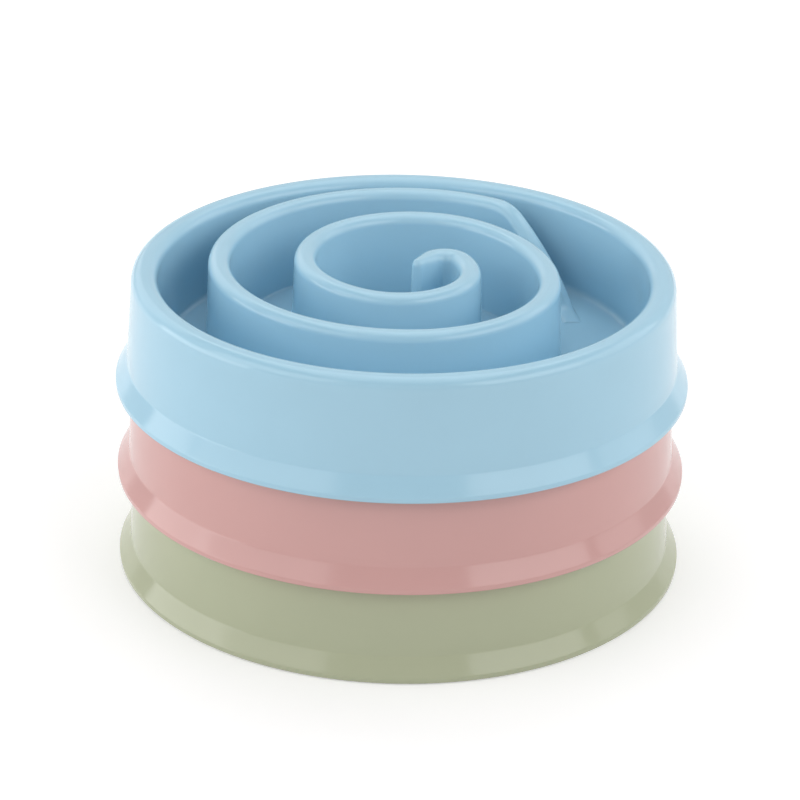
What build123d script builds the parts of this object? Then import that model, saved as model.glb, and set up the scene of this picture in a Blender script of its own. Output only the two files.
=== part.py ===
import os
from math import atan2, cos, degrees, radians, sin, tan

from build123d import *

# A nested stack of moulded slow feeder bowls, each with a spiral feeding ridge.
# Millimetres, +Z up, origin on the ground under the middle of the stack.

os.makedirs("parts", exist_ok=True)

# Stack
bowl_names = ("bottom", "middle", "top")
turn_between_bowls = 180.0  # each bowl stands half a turn round from the one below

# Outer skirt and flared foot
base_radius = 100.0
bowl_height = 40.5
wall = 2.2
lip_height = 1.8
flare_width = 4.0  # from the lip in to the crease
crease_height = 8.1
skirt_lean = 2.2  # from the crease in to the rim
foot_width = 3.8

# Rim and bowl inside
rim_width = 8.7
wall_lean = 1.4  # from the mouth in to the floor
floor_height = 7.2  # underside of the floor above the foot

# Roundings of the shell
rim_outer_round = 4.5
rim_inner_round = 3.6
floor_round = 2.5
lip_round = 1.0

# Spiral feeding ridge: a straight tip, then clockwise tangent arcs that open outwards
ridge_width = 7.2  # across the crest
ridge_draft = 2.0
back_channel = 5.4  # between the ridge's farthest turn and the mouth
tip_length = 5.0
tip_heading = 61.0
tip_shares = (0.085, 0.126)  # start of the ridge, of its reach
arc_radius_shares = (0.083, 0.331, 0.504, 0.816, 0.66, 0.856, 0.799)  # of the reach
arc_sweeps = (123.1, 144.4, 193.6, 47.9, 93.6, 181.6, 67.8)
crest_round = 2.4

# Ramp that takes the outer end of the ridge down to the floor
ramp_sweep = 33.5
ramp_crest_round = 14.0

# Rubber anti-slip pads under the foot
pads_per_bowl = 4
pad_first_angle = 45.0
pad_sweep = 14.0
pad_width = 2.2
pad_thickness = 1.0
pad_proud = 0.4
pad_clearance = 0.1

# One overrun for all cuts
overrun = 1.0
upward_share = 0.5  # a face that turns up by more than this is on top

# Worked out from the sizes above
crease_radius = base_radius - flare_width
skirt_top_radius = crease_radius - skirt_lean
foot_inner_radius = base_radius - foot_width
mouth_radius = skirt_top_radius - rim_width
floor_radius = mouth_radius - wall_lean
floor_top = floor_height + wall
crest_height = bowl_height  # the ridge stands level with the rim
stack_pitch = crest_height - floor_height  # the floor of each bowl rests on the crest below
ridge_reach = mouth_radius - back_channel - ridge_width / 2
draft_run = tan(radians(ridge_draft))
pad_radius = (base_radius + foot_inner_radius) / 2
pad_recess = pad_thickness - pad_proud


# Centre line of the ridge: each arc as its centre, radius, start heading and sweep
def ridge_arcs():
    heading = tip_heading
    x = tip_shares[0] * ridge_reach + tip_length * cos(radians(heading))
    y = tip_shares[1] * ridge_reach + tip_length * sin(radians(heading))
    arcs = []
    for share, sweep in zip(arc_radius_shares, arc_sweeps):
        radius = share * ridge_reach
        centre = (x + radius * sin(radians(heading)), y - radius * cos(radians(heading)))
        arcs.append((centre, radius, heading, sweep))
        heading -= sweep
        x = centre[0] - radius * sin(radians(heading))
        y = centre[1] + radius * cos(radians(heading))
    return arcs


def arc_point(arc, swept, side=0.0):
    centre, radius, heading, sweep = arc
    angle = radians(heading - swept)
    return (centre[0] - (radius + side) * sin(angle), centre[1] + (radius + side) * cos(angle))


arcs = ridge_arcs()
ramp_arc = arcs[-1]
flat_sweep = arc_sweeps[-1] - ramp_sweep
ramp_top = arc_point(ramp_arc, flat_sweep)
ramp_foot = arc_point(ramp_arc, arc_sweeps[-1])
ramp_heading = ramp_arc[2] - flat_sweep  # the slope starts square to the ridge
ramp_along = (cos(radians(ramp_heading)), sin(radians(ramp_heading)))
ramp_run = (ramp_foot[0] - ramp_top[0]) * ramp_along[0] + (ramp_foot[1] - ramp_top[1]) * ramp_along[1]
ramp_slope = degrees(atan2(crest_height - floor_top, ramp_run))
ramp_overrun_sweep = degrees(ridge_width / ramp_arc[1])  # past the ramp's ends by the ridge's width


# Half the ridge's width at a height, wider towards the floor by the draft
def ridge_half_width(height):
    return ridge_width / 2 + (crest_height - height) * draft_run


# Closed plan of the ridge at half a width, from its round tip to just past the ramp's foot
def ridge_plan(half_width):
    start = arc_point(arcs[0], 0)
    tip = (tip_shares[0] * ridge_reach, tip_shares[1] * ridge_reach)
    side = (-half_width * sin(radians(tip_heading)), half_width * cos(radians(tip_heading)))
    spans = [arc[3] for arc in arcs]
    spans[-1] += ramp_overrun_sweep
    with BuildLine() as outline:
        Line((tip[0] - side[0], tip[1] - side[1]), (start[0] - side[0], start[1] - side[1]))
        Line((tip[0] + side[0], tip[1] + side[1]), (start[0] + side[0], start[1] + side[1]))
        CenterArc(tip, half_width, tip_heading + 90, 180)
        for arc, span in zip(arcs, spans):
            for offset_side in (-half_width, half_width):
                CenterArc(arc[0], arc[1] + offset_side, arc[2] + 90, -span)
        Line(arc_point(arcs[-1], spans[-1], half_width), arc_point(arcs[-1], spans[-1], -half_width))
    return outline.edges()


# Plan of the ramped end alone, wide enough to take the ridge off above the ramp
def ramp_plan(half_width):
    span = ramp_sweep + 2 * ramp_overrun_sweep
    first = flat_sweep - ramp_overrun_sweep
    centre, radius, heading, sweep = ramp_arc
    with BuildLine() as outline:
        for offset_side in (half_width, -half_width):
            CenterArc(centre, radius + offset_side, heading - first + 90, -span)
        for swept in (first, first + span):
            Line(arc_point(ramp_arc, swept, half_width), arc_point(ramp_arc, swept, -half_width))
    return outline.edges()


# Sloping plane of the ramp, lowered square to itself by a depth
def ramp_plane(depth):
    up = (
        ramp_along[0] * sin(radians(ramp_slope)),
        ramp_along[1] * sin(radians(ramp_slope)),
        cos(radians(ramp_slope)),
    )
    origin = (
        ramp_top[0] - up[0] * depth,
        ramp_top[1] - up[1] * depth,
        crest_height - up[2] * depth,
    )
    return Plane(origin=origin, z_dir=up)


# What the ramp takes off, above its sloping plane
def ramp_cutter(depth):
    with BuildPart() as cutter:
        with BuildSketch(Plane.XY):
            make_face(ramp_plan(ridge_half_width(0)))
        extrude(amount=bowl_height)
        split(bisect_by=ramp_plane(depth), keep=Keep.TOP)
    return cutter.part


# Middle line of one pad, following the foot
def pad_line(index):
    middle = pad_first_angle + index * 360 / pads_per_bowl
    return CenterArc((0, 0), pad_radius, middle - pad_sweep / 2, pad_sweep, mode=Mode.PRIVATE)


# Solid ridge, from inside the floor up to its rounded crest
ridge_base = floor_height + wall / 2
with BuildPart() as ridge:
    with BuildSketch(Plane.XY.offset(ridge_base)):
        make_face(ridge_plan(ridge_half_width(ridge_base)))
    extrude(amount=crest_height - ridge_base, taper=ridge_draft)
    add(ramp_cutter(0), mode=Mode.SUBTRACT)
    crest_lines = ridge.edges().group_by(Axis.Z)[-1].filter_by(GeomType.LINE)
    fillet(crest_lines.sort_by_distance((*ramp_top, crest_height))[0], ramp_crest_round)
    upward_faces = ridge.faces().filter_by(lambda face: face.normal_at().Z > upward_share)
    upward_edges = [edge for face in upward_faces for edge in face.edges()]
    outer_edges = ShapeList(edge for edge in upward_edges if upward_edges.count(edge) == 1)
    fillet(outer_edges.sort_by(Axis.Z)[1:], crest_round)

# Hollow under the ridge, one wall inside it
core_base = floor_height - overrun
with BuildPart() as ridge_core:
    with BuildSketch(Plane.XY.offset(core_base)):
        make_face(ridge_plan(ridge_half_width(core_base) - wall))
    extrude(amount=crest_height - wall - core_base, taper=ridge_draft)
    add(ramp_cutter(wall), mode=Mode.SUBTRACT)

# Section of the shell: foot, skirt, rim, inside wall and floor, then back underneath
foot_inner = (foot_inner_radius, 0)
foot_outer = (base_radius, 0)
lip = (base_radius, lip_height)
crease = (crease_radius, crease_height)
rim_outer = (skirt_top_radius, bowl_height)
rim_inner = (mouth_radius, bowl_height)
floor_corner = (floor_radius, floor_top)
floor_under_corner = (floor_radius + wall, floor_height)
core_inner = (mouth_radius + wall, bowl_height - wall)
core_outer = (skirt_top_radius - wall, bowl_height - wall)
crease_inner = (crease_radius - wall, crease_height)
roundings = (
    (rim_outer, rim_outer_round),
    (rim_inner, rim_inner_round),
    (floor_corner, floor_round),
    (lip, lip_round),
)

with BuildPart() as bowl:
    with BuildSketch(Plane.XZ) as section:
        with BuildLine():
            Polyline(
                foot_inner,
                foot_outer,
                lip,
                crease,
                rim_outer,
                rim_inner,
                floor_corner,
                (0, floor_top),
                (0, floor_height),
                floor_under_corner,
                core_inner,
                core_outer,
                crease_inner,
                close=True,
            )
        make_face()
        for corner, radius in roundings:
            fillet(section.vertices().sort_by_distance((*corner, 0))[0], radius)
    revolve(axis=Axis.Z)
    add(ridge.part)
    add(ridge_core.part, mode=Mode.SUBTRACT)
    # Shallow seats for the pads
    with BuildSketch(Plane.XY):
        for index in range(pads_per_bowl):
            SlotArc(pad_line(index), pad_width + 2 * pad_clearance)
    extrude(amount=pad_recess, mode=Mode.SUBTRACT)

# The stack: bowls raised and turned one above another, each with its own pads
for level, bowl_name in enumerate(bowl_names):
    place = Location((0, 0, pad_proud + level * stack_pitch), (0, 0, level * turn_between_bowls))
    with BuildPart() as placed_bowl:
        with Locations(place):
            add(bowl.part)
    placed_bowl.part.label = f"{bowl_name}_bowl"
    export_step(placed_bowl.part, f"parts/{bowl_name}_bowl.step")

    for index in range(pads_per_bowl):
        with BuildPart() as pad:
            with BuildSketch(Plane(place).offset(-pad_proud)):
                SlotArc(pad_line(index), pad_width)
            extrude(amount=pad_thickness)
        pad.part.label = f"{bowl_name}_bowl_pad_{index + 1}"
        export_step(pad.part, f"parts/{bowl_name}_bowl_pad_{index + 1}.step")
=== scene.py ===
from math import atan2, ceil, cos, degrees, hypot, pi, radians, sin, sqrt, tan

import bmesh
import bpy
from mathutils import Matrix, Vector


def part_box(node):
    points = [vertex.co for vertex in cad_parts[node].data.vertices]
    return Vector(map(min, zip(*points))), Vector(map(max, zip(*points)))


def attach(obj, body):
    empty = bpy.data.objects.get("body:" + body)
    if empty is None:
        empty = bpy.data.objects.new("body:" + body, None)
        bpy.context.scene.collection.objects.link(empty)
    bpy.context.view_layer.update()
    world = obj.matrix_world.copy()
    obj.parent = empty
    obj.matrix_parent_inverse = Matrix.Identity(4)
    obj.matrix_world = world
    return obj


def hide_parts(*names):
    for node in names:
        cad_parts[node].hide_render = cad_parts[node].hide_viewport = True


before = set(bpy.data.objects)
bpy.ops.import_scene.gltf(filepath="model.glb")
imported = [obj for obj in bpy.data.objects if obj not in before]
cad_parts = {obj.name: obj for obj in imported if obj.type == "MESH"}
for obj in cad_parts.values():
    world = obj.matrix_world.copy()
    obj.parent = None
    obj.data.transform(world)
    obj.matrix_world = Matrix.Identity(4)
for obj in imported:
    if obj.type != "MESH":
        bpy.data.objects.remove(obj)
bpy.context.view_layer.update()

mm = 0.001
scene = bpy.context.scene
# closer than this counts as the same place
near = {"merge": 0.002 * mm, "line": 0.01 * mm, "level": 0.05 * mm}
sideShares = {"shared": 0.46, "free": 0.92, "most": 0.9}  # of a side, that one rounding may use


# drawing helpers

def arcAtCorner(before, corner, after, support):
    # points of a rounding, with a support point on each straight beside it
    radius, steps = corner[2:]
    inX, inY = corner[0] - before[0], corner[1] - before[1]
    outX, outY = after[0] - corner[0], after[1] - corner[1]
    inLength, outLength = hypot(inX, inY), hypot(outX, outY)
    inX, inY, outX, outY = inX / inLength, inY / inLength, outX / outLength, outY / outLength
    turn = atan2(inX * outY - inY * outX, inX * outX + inY * outY)
    # two roundings share a side; beside a plain corner the side is free
    room = min(
        inLength * sideShares["shared" if before[2] else "free"],
        outLength * sideShares["shared" if after[2] else "free"],
    )
    tangent = min(radius * tan(abs(turn) / 2), sideShares["most"] * room)
    radius = tangent / tan(abs(turn) / 2)
    support = min(support, room - tangent)
    side = 1 if turn > 0 else -1
    startX, startY = corner[0] - inX * tangent, corner[1] - inY * tangent
    centreX, centreY = startX - inY * radius * side, startY + inX * radius * side
    points = [(startX - inX * support, startY - inY * support)]
    for step in range(steps + 1):
        angle = turn * step / steps
        armX, armY = startX - centreX, startY - centreY
        points.append((
            centreX + armX * cos(angle) - armY * sin(angle),
            centreY + armX * sin(angle) + armY * cos(angle),
        ))
    points.append((corner[0] + outX * (tangent + support), corner[1] + outY * (tangent + support)))
    return points


def roundedLine(corners, support):
    # corners are (across, up, rounding radius, steps); a corner with no radius stays a point
    line = []
    for index, corner in enumerate(corners):
        if corner[2] == 0:
            line.append(corner[:2])
        else:
            line += arcAtCorner(corners[index - 1], corner, corners[index + 1], support)
    return line


def drawLine(name, points):
    # one vertex, pulled along the points in edit mode
    bpy.ops.object.select_all(action="DESELECT")
    bpy.ops.mesh.primitive_plane_add(size=mm, location=(0, 0, 0))
    drawn = bpy.context.object
    drawn.name = drawn.data.name = name
    bpy.ops.object.mode_set(mode="EDIT")
    bpy.ops.mesh.select_mode(type="VERT")
    bpy.ops.mesh.select_all(action="SELECT")
    bpy.ops.mesh.merge(type="CENTER")
    bpy.ops.transform.translate(value=points[0])
    for here, there in zip(points, points[1:]):
        bpy.ops.mesh.extrude_region_move(TRANSFORM_OT_translate={"value": Vector(there) - Vector(here)})
    bpy.ops.mesh.select_all(action="SELECT")
    return drawn


def selectEdges(test):
    # edit mode: only the edges that pass the test stay selected
    bpy.ops.mesh.select_mode(type="EDGE")
    bpy.ops.mesh.select_all(action="DESELECT")
    shape = bmesh.from_edit_mesh(bpy.context.object.data)
    for edge in shape.edges:
        if test(edge):
            edge.select_set(True)
    shape.select_flush_mode()
    bmesh.update_edit_mesh(bpy.context.object.data)


def mergeDoubles():
    bpy.ops.mesh.select_all(action="SELECT")
    bpy.ops.mesh.remove_doubles(threshold=near["merge"])


# bowl, all three are the same moulding

bowl = {
    "footRadius": 100.0 * mm,
    "height": 40.5 * mm,
    "wall": 2.2 * mm,
    "lipHeight": 1.8 * mm,
    "creaseRadius": 96.0 * mm,
    "creaseHeight": 8.1 * mm,
    "skirtTopRadius": 93.8 * mm,
    "footInnerRadius": 96.2 * mm,
    "mouthRadius": 85.1 * mm,
    "floorRadius": 83.7 * mm,
    "floorUnderside": 7.2 * mm,
    "rimOuterRound": 4.5 * mm,
    "rimInnerRound": 3.6 * mm,
    "floorRound": 2.5 * mm,
    "creaseRound": 1.6 * mm,
    "lipRound": 1.0 * mm,
    "footEdgeRound": 0.5 * mm,
    "hiddenRound": 0.8 * mm,
    "support": 0.25 * mm,
    "spinSteps": 256,
    "smoothAngle": 40.0,
}
floorTop = bowl["floorUnderside"] + bowl["wall"]

ridge = {
    "tip": (6.47 * mm, 9.59 * mm),
    "tipHeading": 61.0,
    "tipLength": 5.0 * mm,
    "tipSteps": 5,
    "tipEndSteps": 28,
    "tipReach": 1.8 * mm,  # the narrowed end reaches on by this
    "tipInnerCut": 2.4 * mm,
    "tipOuterCut": 0.8 * mm,
    "tipTaper": 8.8 * mm,
    "tipTaperPower": 1.5,
    "arcRadii": (6.32 * mm, 25.19 * mm, 38.35 * mm, 62.1 * mm, 50.23 * mm, 65.14 * mm, 60.8 * mm),
    "arcSweeps": (123.1, 144.4, 193.6, 47.9, 93.6, 181.6, 67.8),
    "crestHalfWidth": 3.7 * mm,
    "draft": 2.0,
    "crestRound": 3.3 * mm,
    "footRound": 0.9 * mm,
    "floorMargin": 0.15 * mm,
    "slotEdgeRound": 0.4 * mm,
    "sectionReach": 7.0 * mm,  # wider than the section, to pick it out
    "stepLength": 1.6 * mm,
    "stepTurn": 6.0,  # the most that one step turns
    "rampSweep": 33.5,
    "rampOverrun": 3.0,
    "rampMargins": (3.0, 8.0),  # past its foot and before its shoulder, to pick it out
    "shoulderRound": 14.0 * mm,
    "toeSweep": 41.5,
    "toeRise": 1.5 * mm,
    "toeStep": 0.5 * mm,
    "toeRound": 8.0 * mm,
    "toeFine": (0.5, 1.5),  # short steps start before the toe's step and go on for
    "leastRise": 0.01 * mm,
    "slopeProbe": 0.1 * mm,
}
crest = bowl["height"]
draftRun = tan(radians(ridge["draft"]))


def ridgeArcs():
    # centre, radius, start heading and sweep of each arc, all clockwise and tangent
    heading = ridge["tipHeading"]
    x = ridge["tip"][0] + ridge["tipLength"] * cos(radians(heading))
    y = ridge["tip"][1] + ridge["tipLength"] * sin(radians(heading))
    arcs = []
    for radius, sweep in zip(ridge["arcRadii"], ridge["arcSweeps"]):
        centre = (x + radius * sin(radians(heading)), y - radius * cos(radians(heading)))
        arcs.append((centre, radius, heading, sweep))
        heading -= sweep
        x = centre[0] - radius * sin(radians(heading))
        y = centre[1] + radius * cos(radians(heading))
    return arcs


arcs = ridgeArcs()
lastCentre, lastRadius, lastHeading, lastSweep = arcs[-1]
# polar, about the last arc's centre
rampTopAngle = (lastHeading + 90 - lastSweep + ridge["rampSweep"]) % 360
rampRun = lastRadius * radians(ridge["rampSweep"])
toeEnd = lastRadius * radians(ridge["toeSweep"])
slopeShare = 1 - ridge["toeRise"] / (crest - floorTop)

# height along the ridge: level crest, rounded shoulder, slope, flatter toe with a small step at its end
rampLine = roundedLine([
    (-rampRun, crest, 0, 0),
    (0, crest, ridge["shoulderRound"], 16),
    (rampRun * slopeShare, floorTop + ridge["toeRise"], ridge["toeRound"], 6),
    (toeEnd, floorTop + ridge["toeStep"], ridge["toeStep"] / 2, 3),
    (toeEnd + ridge["toeStep"] / 2, floorTop, ridge["toeStep"] / 2, 3),
    (2 * rampRun, floorTop, 0, 0),
], 0.0)


def rampHeight(along):
    for (start, high), (end, low) in zip(rampLine, rampLine[1:]):
        if start <= along < end:
            return high + (low - high) * (along - start) / (end - start)
    return crest if along < 0 else floorTop


def onLastArc(angle, across=0.0):
    reach = lastRadius + across
    return (lastCentre[0] + reach * cos(radians(angle)), lastCentre[1] + reach * sin(radians(angle)))


def halfWidthAt(height):
    return ridge["crestHalfWidth"] + (crest - height) * draftRun


def aboveFloor(line):
    # the part of a rising line above the floor, from where it crosses, with as many points
    count = len(line)
    low = max(index for index, point in enumerate(line) if point[1] < floorTop)
    (lowX, lowY), (highX, highY) = line[low:low + 2]
    share = (floorTop - lowY) / (highY - lowY)
    line = [(lowX + (highX - lowX) * share, floorTop)] + line[low + 1:]
    if len(line) == count:
        return line
    lengths = [hypot(b[0] - a[0], b[1] - a[1]) for a, b in zip(line, line[1:])]
    spread = [line[0]]
    for step in range(1, count - 1):
        rest = sum(lengths) * step / (count - 1)
        index = 0
        while rest > lengths[index]:
            rest -= lengths[index]
            index += 1
        share = rest / lengths[index]
        (aX, aY), (bX, bY) = line[index:index + 2]
        spread.append((aX + (bX - aX) * share, aY + (bY - aY) * share))
    return spread + [line[-1]]


def ridgeSection(top):
    # from the floor on the left, over the crest and down to the floor on the right
    top = max(top, floorTop + ridge["leastRise"])
    deep = top - crest
    shoulder = (halfWidthAt(top), top, ridge["crestRound"], 7)
    edge = (halfWidthAt(floorTop) + ridge["footRound"] + ridge["floorMargin"], floorTop, 0, 0)
    rounded = arcAtCorner((halfWidthAt(deep), deep, 0, 0), shoulder, (0, top, 0, 0), bowl["support"])
    side = aboveFloor([(halfWidthAt(deep), deep)] + rounded)
    foot = arcAtCorner(edge, (*side[0], ridge["footRound"], 5), (*side[1], 0, 0), bowl["support"])
    half = [edge[:2]] + foot + side[1:]
    return half + [(0, top)] + [(-u, z) for u, z in reversed(half)]


def hollowSection(top):
    # the slot under the ridge, one wall inside it
    underside = bowl["floorUnderside"]
    top = max(top, underside + ridge["leastRise"])
    slotHalf, topHalf = halfWidthAt(underside) - bowl["wall"], halfWidthAt(top) - bowl["wall"]
    edge = slotHalf + ridge["slotEdgeRound"] + ridge["floorMargin"]
    return roundedLine([
        (edge, underside, 0, 0),
        (slotHalf, underside, ridge["slotEdgeRound"], 3),
        (topHalf, top, ridge["slotEdgeRound"], 3),
        (0, top, 0, 0),
        (-topHalf, top, ridge["slotEdgeRound"], 3),
        (-slotHalf, underside, ridge["slotEdgeRound"], 3),
        (-edge, underside, 0, 0),
    ], bowl["support"])


def hollowHeight(along):
    # one wall under the ramp, square to it
    probe = ridge["slopeProbe"]
    steepness = (rampHeight(along + probe) - rampHeight(along - probe)) / (2 * probe)
    return rampHeight(along) - bowl["wall"] * sqrt(1 + steepness**2)


def lowerRamp(section, heightAt):
    # stations of the last arc past the ramp's shoulder get the section for their own height
    flat = section(heightAt(-1.0))
    shape = bmesh.from_edit_mesh(bpy.context.object.data)
    pastFoot, beforeShoulder = ridge["rampMargins"]
    lastAngle = rampTopAngle - ridge["toeSweep"] - ridge["rampOverrun"] - pastFoot
    sections = {}
    for vertex in shape.verts:
        offX, offY = vertex.co.x - lastCentre[0], vertex.co.y - lastCentre[1]
        across = hypot(offX, offY) - lastRadius
        angle = degrees(atan2(offY, offX))
        if abs(across) > ridge["sectionReach"] or not lastAngle < angle < rampTopAngle + beforeShoulder:
            continue
        misses = [abs(u - across) + abs(z - vertex.co.z) for u, z in flat]
        place = misses.index(min(misses))
        station = round(angle, 3)
        if station not in sections:
            sections[station] = section(heightAt(lastRadius * radians(rampTopAngle - angle)))
        across, up = sections[station][place]
        vertex.co.x, vertex.co.y = onLastArc(angle, across)
        vertex.co.z = up
    bmesh.update_edit_mesh(bpy.context.object.data)


def narrowTip():
    # towards its end the tip thins, more from its inner side, so the hook stays open to the front
    tip, heading = ridge["tip"], radians(ridge["tipHeading"])
    centre, radius, startHeading, sweep = arcs[0]
    cuts = (ridge["tipInnerCut"] + ridge["tipOuterCut"]) / (2 * ridge["crestHalfWidth"])
    aside = (ridge["tipInnerCut"] - ridge["tipOuterCut"]) / 2
    reach, taper = ridge["tipReach"], ridge["tipTaper"]
    shape = bmesh.from_edit_mesh(bpy.context.object.data)
    for vertex in shape.verts:
        offX, offY = vertex.co.x - tip[0], vertex.co.y - tip[1]
        along = offX * cos(heading) + offY * sin(heading)
        across = offY * cos(heading) - offX * sin(heading)
        onArc = along > ridge["tipLength"] + near["line"]
        if onArc:
            armX, armY = vertex.co.x - centre[0], vertex.co.y - centre[1]
            swept = heading + pi / 2 - atan2(armY, armX)
            along = ridge["tipLength"] + radius * swept
            across = hypot(armX, armY) - radius
        if abs(across) > ridge["sectionReach"] or not -ridge["sectionReach"] < along < taper - reach:
            continue
        straight = max(along, 0)
        moved = along if onArc else straight - reach * (1 - straight / ridge["tipLength"])
        thin = max(1 - (moved + reach) / taper, 0) ** ridge["tipTaperPower"]
        across = across * (1 - cuts * thin) + aside * thin
        if onArc:
            angle = heading + pi / 2 - swept
            vertex.co.x = centre[0] + (radius + across) * cos(angle)
            vertex.co.y = centre[1] + (radius + across) * sin(angle)
        else:
            moved += min(along, 0) * (1 - cuts)
            vertex.co.x = tip[0] + moved * cos(heading) - across * sin(heading)
            vertex.co.y = tip[1] + moved * sin(heading) + across * cos(heading)
    bmesh.update_edit_mesh(bpy.context.object.data)


def sweepRidge(name, section, heightAt):
    # the section is pulled straight along the tip, then spun round each arc's centre in turn
    tip, heading = ridge["tip"], radians(ridge["tipHeading"])
    left = (-sin(heading), cos(heading))
    line = section(heightAt(-1.0))
    swept = drawLine(name, [(tip[0] + left[0] * u, tip[1] + left[1] * u, z) for u, z in line])
    stepLength = ridge["tipLength"] / ridge["tipSteps"]
    pull = (stepLength * cos(heading), stepLength * sin(heading), 0)
    for step in range(ridge["tipSteps"]):
        bpy.ops.mesh.extrude_region_move(TRANSFORM_OT_translate={"value": pull})
    spins = [(centre, radius, sweep, ridge["stepLength"]) for centre, radius, startHeading, sweep in arcs]
    toeSweep = ridge["toeSweep"] - ridge["rampSweep"]
    fineBefore, fineSweep = ridge["toeFine"]
    spins += [
        (lastCentre, lastRadius, toeSweep - fineBefore, ridge["stepLength"] / 2),
        (lastCentre, lastRadius, fineSweep, ridge["toeStep"] / 5),
        (lastCentre, lastRadius, ridge["rampOverrun"], ridge["stepLength"]),
    ]
    for centre, radius, sweep, stepLength in spins:
        steps = ceil(max(radius * radians(sweep) / stepLength, sweep / ridge["stepTurn"]))
        # a spin about +Z goes clockwise
        bpy.ops.mesh.spin(steps=steps, angle=radians(sweep), center=(*centre, 0), axis=(0, 0, 1))

    # round end of the tip: the left half of its section, spun half a turn
    def onTip(vertex):
        offX, offY = vertex.co.x - tip[0], vertex.co.y - tip[1]
        ahead = offX * cos(heading) + offY * sin(heading)
        across = offX * left[0] + offY * left[1]
        return abs(ahead) < near["line"] and -near["line"] < across < ridge["sectionReach"]

    selectEdges(lambda edge: all(onTip(vertex) for vertex in edge.verts))
    bpy.ops.mesh.spin(steps=ridge["tipEndSteps"], angle=-pi, center=(*tip, 0), axis=(0, 0, 1))
    mergeDoubles()
    narrowTip()
    lowerRamp(section, heightAt)
    bpy.ops.object.mode_set(mode="OBJECT")
    return swept


def makeShell():
    b = bowl
    coreTop = b["height"] - b["wall"]
    floorLoop = b["floorRadius"] - b["floorRound"]
    underRadius = b["floorRadius"] + b["wall"]
    line = roundedLine([
        (floorLoop, floorTop, 0, 0),
        (b["floorRadius"], floorTop, b["floorRound"], 8),
        (b["mouthRadius"], b["height"], b["rimInnerRound"], 8),
        (b["skirtTopRadius"], b["height"], b["rimOuterRound"], 12),
        (b["creaseRadius"], b["creaseHeight"], b["creaseRound"], 5),
        (b["footRadius"], b["lipHeight"], b["lipRound"], 5),
        (b["footRadius"], 0, b["footEdgeRound"], 5),
        (b["footInnerRadius"], 0, b["footEdgeRound"], 5),
        (b["creaseRadius"] - b["wall"], b["creaseHeight"], b["hiddenRound"], 4),
        (b["skirtTopRadius"] - b["wall"], coreTop, b["hiddenRound"], 4),
        (b["mouthRadius"] + b["wall"], coreTop, b["hiddenRound"], 4),
        (underRadius, b["floorUnderside"], b["hiddenRound"], 4),
        (underRadius - 2 * b["hiddenRound"], b["floorUnderside"], 0, 0),
    ], b["support"])
    shell = drawLine("shell", [(r, 0, z) for r, z in line])
    bpy.ops.mesh.spin(steps=b["spinSteps"], angle=2 * pi, center=(0, 0, 0), axis=(0, 0, 1))
    mergeDoubles()
    bpy.ops.object.mode_set(mode="OBJECT")
    return shell


def makeBowl():
    shell = makeShell()
    print("shell spun", len(shell.data.polygons))
    skin = sweepRidge("ridgeSkin", ridgeSection, rampHeight)
    print("ridge swept", len(skin.data.polygons))
    hollow = sweepRidge("ridgeHollow", hollowSection, hollowHeight)
    print("hollow swept", len(hollow.data.polygons))
    bpy.ops.object.select_all(action="DESELECT")
    for part in (shell, skin, hollow):
        part.select_set(True)
    bpy.context.view_layer.objects.active = shell
    bpy.ops.object.join()
    # the floor and its underside fill the space between the open loops
    bpy.ops.object.mode_set(mode="EDIT")
    for level in (floorTop, bowl["floorUnderside"]):
        selectEdges(lambda edge: edge.is_boundary and all(
            abs(vertex.co.z - level) < near["level"] for vertex in edge.verts))
        bpy.ops.mesh.fill(use_beauty=True)
    mergeDoubles()
    bpy.ops.mesh.normals_make_consistent(inside=False)
    shape = bmesh.from_edit_mesh(shell.data)
    print("bowl joined, open edges", sum(not edge.is_manifold for edge in shape.edges))
    bpy.ops.object.mode_set(mode="OBJECT")
    bpy.ops.object.shade_smooth_by_angle(angle=radians(bowl["smoothAngle"]))
    return shell


# finishes

finishes = {
    "blue": {"colour": (0.410, 0.665, 0.815), "rough": 0.11},
    "pink": {"colour": (0.680, 0.385, 0.362), "rough": 0.11},
    "green": {"colour": (0.474, 0.505, 0.344), "rough": 0.11},
    "pad": {"colour": (0.60, 0.60, 0.58), "rough": 0.75},
}
mould = {
    "cloudScale": 38,
    "cloudDetail": 3,
    "clouding": 0.05,
    "grainScale": 1400,
    "grainDetail": 2,
    "glossSwing": 0.03,
    "relief": 0.05,
    "reliefDepth": 0.05 * mm,
    "ior": 1.5,
}


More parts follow.
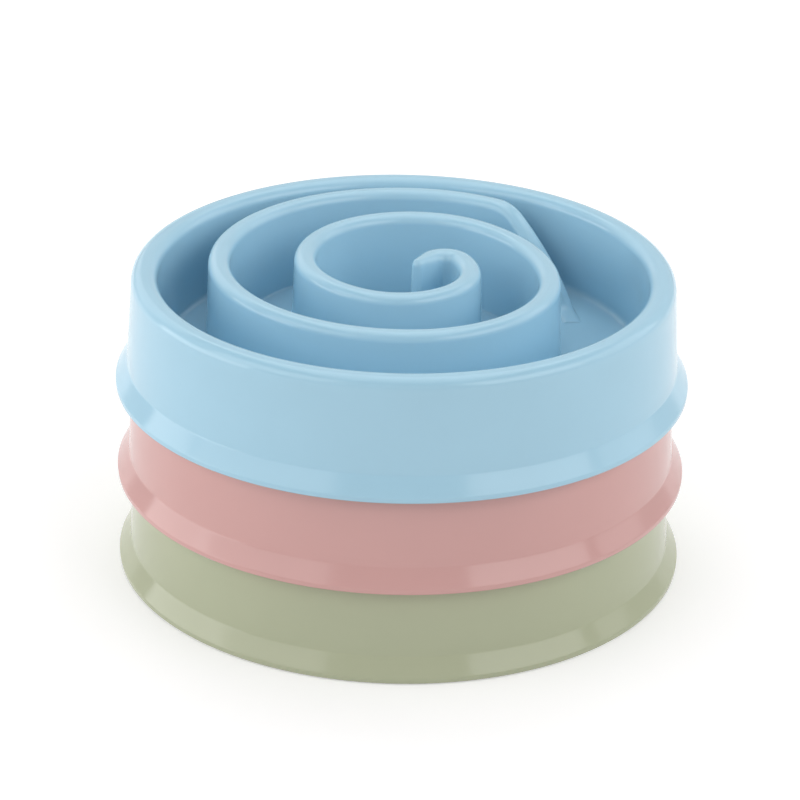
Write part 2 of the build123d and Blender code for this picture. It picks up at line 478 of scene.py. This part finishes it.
def makeSkinGroup():
    # faint clouding of the pigment, and the fine grain of the mould in gloss and relief
    group = bpy.data.node_groups.new("mouldedSkin", "ShaderNodeTree")
    face = group.interface
    face.new_socket("Colour", in_out="INPUT", socket_type="NodeSocketColor")
    face.new_socket("Rough", in_out="INPUT", socket_type="NodeSocketFloat")
    face.new_socket("Clouding", in_out="INPUT", socket_type="NodeSocketFloat")
    face.new_socket("Colour", in_out="OUTPUT", socket_type="NodeSocketColor")
    face.new_socket("Rough", in_out="OUTPUT", socket_type="NodeSocketFloat")
    face.new_socket("Grain", in_out="OUTPUT", socket_type="NodeSocketFloat")
    nodes, links = group.nodes, group.links
    given = nodes.new("NodeGroupInput")
    out = nodes.new("NodeGroupOutput")
    place = nodes.new("ShaderNodeTexCoord")
    cloud = nodes.new("ShaderNodeTexNoise")
    cloud.inputs["Scale"].default_value = mould["cloudScale"]
    cloud.inputs["Detail"].default_value = mould["cloudDetail"]
    grain = nodes.new("ShaderNodeTexNoise")
    grain.inputs["Scale"].default_value = mould["grainScale"]
    grain.inputs["Detail"].default_value = mould["grainDetail"]
    for noise in (cloud, grain):
        links.new(place.outputs["Object"], noise.inputs["Vector"])
    # clouding swings the value a little to both sides of the written colour
    centred = nodes.new("ShaderNodeMath")
    centred.operation = "SUBTRACT"
    centred.inputs[1].default_value = 0.5
    links.new(cloud.outputs["Fac"], centred.inputs[0])
    swing = nodes.new("ShaderNodeMath")
    swing.operation = "MULTIPLY_ADD"
    swing.inputs[2].default_value = 1.0
    links.new(centred.outputs[0], swing.inputs[0])
    links.new(given.outputs["Clouding"], swing.inputs[1])
    shade = nodes.new("ShaderNodeHueSaturation")
    links.new(given.outputs["Colour"], shade.inputs["Color"])
    links.new(swing.outputs[0], shade.inputs["Value"])
    links.new(shade.outputs["Color"], out.inputs["Colour"])
    gloss = nodes.new("ShaderNodeMath")
    gloss.operation = "MULTIPLY_ADD"
    gloss.inputs[1].default_value = mould["glossSwing"]
    links.new(grain.outputs["Fac"], gloss.inputs[0])
    links.new(given.outputs["Rough"], gloss.inputs[2])
    links.new(gloss.outputs[0], out.inputs["Rough"])
    links.new(grain.outputs["Fac"], out.inputs["Grain"])
    return group


skinGroup = makeSkinGroup()


def makePlastic(name, finish):
    material = bpy.data.materials.new(name)
    material.use_nodes = True
    nodes, links = material.node_tree.nodes, material.node_tree.links
    shader = nodes["Principled BSDF"]
    shader.inputs["IOR"].default_value = mould["ior"]
    skin = nodes.new("ShaderNodeGroup")
    skin.node_tree = skinGroup
    skin.inputs["Colour"].default_value = (*finish["colour"], 1)
    skin.inputs["Rough"].default_value = finish["rough"]
    skin.inputs["Clouding"].default_value = mould["clouding"]
    relief = nodes.new("ShaderNodeBump")
    relief.inputs["Strength"].default_value = mould["relief"]
    relief.inputs["Distance"].default_value = mould["reliefDepth"]
    links.new(skin.outputs["Grain"], relief.inputs["Height"])
    links.new(skin.outputs["Colour"], shader.inputs["Base Color"])
    links.new(skin.outputs["Rough"], shader.inputs["Roughness"])
    links.new(relief.outputs["Normal"], shader.inputs["Normal"])
    return material


# the stack: one bowl modelled, two copies, each turned half round from the one below

stack = {
    "bottom": {"name": "green_bowl", "finish": "green", "turn": 0.0},
    "middle": {"name": "pink_bowl", "finish": "pink", "turn": pi},
    "top": {"name": "blue_bowl", "finish": "blue", "turn": 0.0},
}
master = makeBowl()
for level, piece in stack.items():
    node = f"{level}_bowl"
    bpy.ops.object.select_all(action="DESELECT")
    master.select_set(True)
    bpy.context.view_layer.objects.active = master
    if level != "top":
        bpy.ops.object.duplicate(linked=False)
    placed = bpy.context.object
    placed.name = placed.data.name = piece["name"]
    placed.rotation_euler[2] = piece["turn"]
    placed.location[2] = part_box(node)[0][2]
    bpy.ops.object.transform_apply(location=True, rotation=True, scale=True)
    placed.data.materials.clear()
    placed.data.materials.append(makePlastic(f"{piece['finish']}Plastic", finishes[piece["finish"]]))
    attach(placed, f"{node}_body")
    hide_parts(node)
print("bowls placed", [piece["name"] for piece in stack.values()])

padRubber = makePlastic("padRubber", finishes["pad"])
for name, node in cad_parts.items():
    if "_pad_" in name:
        node.data.materials.clear()
        node.data.materials.append(padRubber)
print("pads finished")


# floor, light and camera

stageSet = {
    "floorSize": 6.0,
    "floorGrey": 0.80,
    "floorRough": 0.9,
    "floorLift": 0.36,
    "liftGrows": (0.5, 1.6),  # from and to, away from the middle
    "ringLevel": 0.56,
    "capLevel": 0.0,
    "capSpan": (0.55, 0.85),  # of the sky's height
    "backLevel": 0.12,
    "backSpan": (0.1, 0.6),
}


def seenOrMirrored(nodes, links):
    # 1 for what the camera sees straight or in a gloss, 0 for light that falls on the object
    path = nodes.new("ShaderNodeLightPath")
    either = nodes.new("ShaderNodeMath")
    either.operation = "MAXIMUM"
    links.new(path.outputs["Is Camera Ray"], either.inputs[0])
    links.new(path.outputs["Is Glossy Ray"], either.inputs[1])
    return either.outputs[0]


def makeFloor():
    bpy.ops.object.select_all(action="DESELECT")
    bpy.ops.mesh.primitive_plane_add(size=stageSet["floorSize"], location=(0, 0, 0))
    floor = bpy.context.object
    floor.name = "floor"
    material = bpy.data.materials.new("floorPaper")
    material.use_nodes = True
    nodes, links = material.node_tree.nodes, material.node_tree.links
    shader = nodes["Principled BSDF"]
    shader.inputs["Base Color"].default_value = (*[stageSet["floorGrey"]] * 3, 1)
    shader.inputs["Roughness"].default_value = stageSet["floorRough"]
    shader.inputs["Emission Color"].default_value = (1, 1, 1, 1)
    # the lift grows to plain white away from the object, so no view shows where the floor ends
    place = nodes.new("ShaderNodeTexCoord")
    away = nodes.new("ShaderNodeVectorMath")
    away.operation = "LENGTH"
    links.new(place.outputs["Object"], away.inputs[0])
    grow = nodes.new("ShaderNodeMapRange")
    grow.inputs["From Min"].default_value, grow.inputs["From Max"].default_value = stageSet["liftGrows"]
    grow.inputs["To Min"].default_value = stageSet["floorLift"]
    links.new(away.outputs["Value"], grow.inputs["Value"])
    lift = nodes.new("ShaderNodeMath")
    lift.operation = "MULTIPLY"
    links.new(seenOrMirrored(nodes, links), lift.inputs[0])
    links.new(grow.outputs["Result"], lift.inputs[1])
    links.new(lift.outputs[0], shader.inputs["Emission Strength"])
    floor.data.materials.append(material)


def makeWorld():
    # a low ring of light, more of it from behind, and its own level overhead; the camera sees white
    world = bpy.data.worlds.new("studio")
    scene.world = world
    world.use_nodes = True
    nodes, links = world.node_tree.nodes, world.node_tree.links
    sky = nodes["Background"]
    sky.inputs["Color"].default_value = (1, 1, 1, 1)
    place = nodes.new("ShaderNodeTexCoord")
    axes = nodes.new("ShaderNodeSeparateXYZ")
    links.new(place.outputs["Generated"], axes.inputs[0])

    def fade(source, span, low, high):
        step = nodes.new("ShaderNodeMapRange")
        step.interpolation_type = "SMOOTHSTEP"
        for socket, value in zip(("From Min", "From Max", "To Min", "To Max"), (*span, low, high)):
            step.inputs[socket].default_value = value
        links.new(source, step.inputs["Value"])
        return step.outputs["Result"]

    total = nodes.new("ShaderNodeMath")
    ring = fade(axes.outputs["Z"], stageSet["capSpan"], stageSet["ringLevel"], stageSet["capLevel"])
    back = fade(axes.outputs["Y"], stageSet["backSpan"], 0.0, stageSet["backLevel"])
    links.new(ring, total.inputs[0])
    links.new(back, total.inputs[1])
    level = nodes.new("ShaderNodeMapRange")
    level.inputs["To Max"].default_value = 1.0
    path = nodes.new("ShaderNodeLightPath")
    links.new(path.outputs["Is Camera Ray"], level.inputs["Value"])
    links.new(total.outputs[0], level.inputs["To Min"])
    links.new(level.outputs["Result"], sky.inputs["Strength"])


# round is from the front, to the right; up is above level
lampTarget = (0, 0, 0.06)
lamps = {
    "frontLeft": {"round": -58, "up": 36, "away": 1.35, "size": (1.3, 0.8), "power": 4.0},
    "frontRight": {"round": 55, "up": 34, "away": 1.35, "size": (1.1, 0.8), "power": 4.8},
    "sideRight": {"round": 105, "up": 26, "away": 1.35, "size": (1.0, 0.8), "power": 2.5},
    "lowLeft": {"round": -86, "up": 8, "away": 1.2, "size": (1.1, 0.5), "power": 3.8},
    "backLeft": {"round": -145, "up": 28, "away": 1.35, "size": (0.9, 0.8), "power": 1.2},
    "backTop": {"round": 180, "up": 58, "away": 1.35, "size": (1.0, 0.8), "power": 3.2},
    "overhead": {"round": 0, "up": 90, "away": 1.35, "size": (1.0, 1.0), "power": 3.5},
}


def makeLamps():
    target = Vector(lampTarget)
    for name, lamp in lamps.items():
        turned, raised = radians(lamp["round"]), radians(lamp["up"])
        arm = Vector((sin(turned) * cos(raised), -cos(turned) * cos(raised), sin(raised)))
        bpy.ops.object.light_add(type="AREA", location=target + arm * lamp["away"])
        light = bpy.context.object
        light.name = name
        light.data.shape = "RECTANGLE"
        light.data.size, light.data.size_y = lamp["size"]
        light.data.energy = lamp["power"]
        light.visible_camera = False
        light.rotation_euler = (target - light.location).to_track_quat("-Z", "Y").to_euler()


camera = {
    "at": (0.0, -0.93718, 0.49510),
    "turn": (64.947, -1.063, 0.526),
    "lens": 132.09,
    "sensor": 36,
    "nearest": 0.01,
}


def makeCamera():
    bpy.ops.object.camera_add(location=camera["at"], rotation=[radians(angle) for angle in camera["turn"]])
    made = bpy.context.object
    made.data.sensor_width = camera["sensor"]
    made.data.lens = camera["lens"]
    made.data.clip_start = camera["nearest"]
    scene.camera = made


makeFloor()
makeWorld()
makeLamps()
makeCamera()
scene.view_settings.view_transform = "Standard"
print("floor, lamps and camera set")
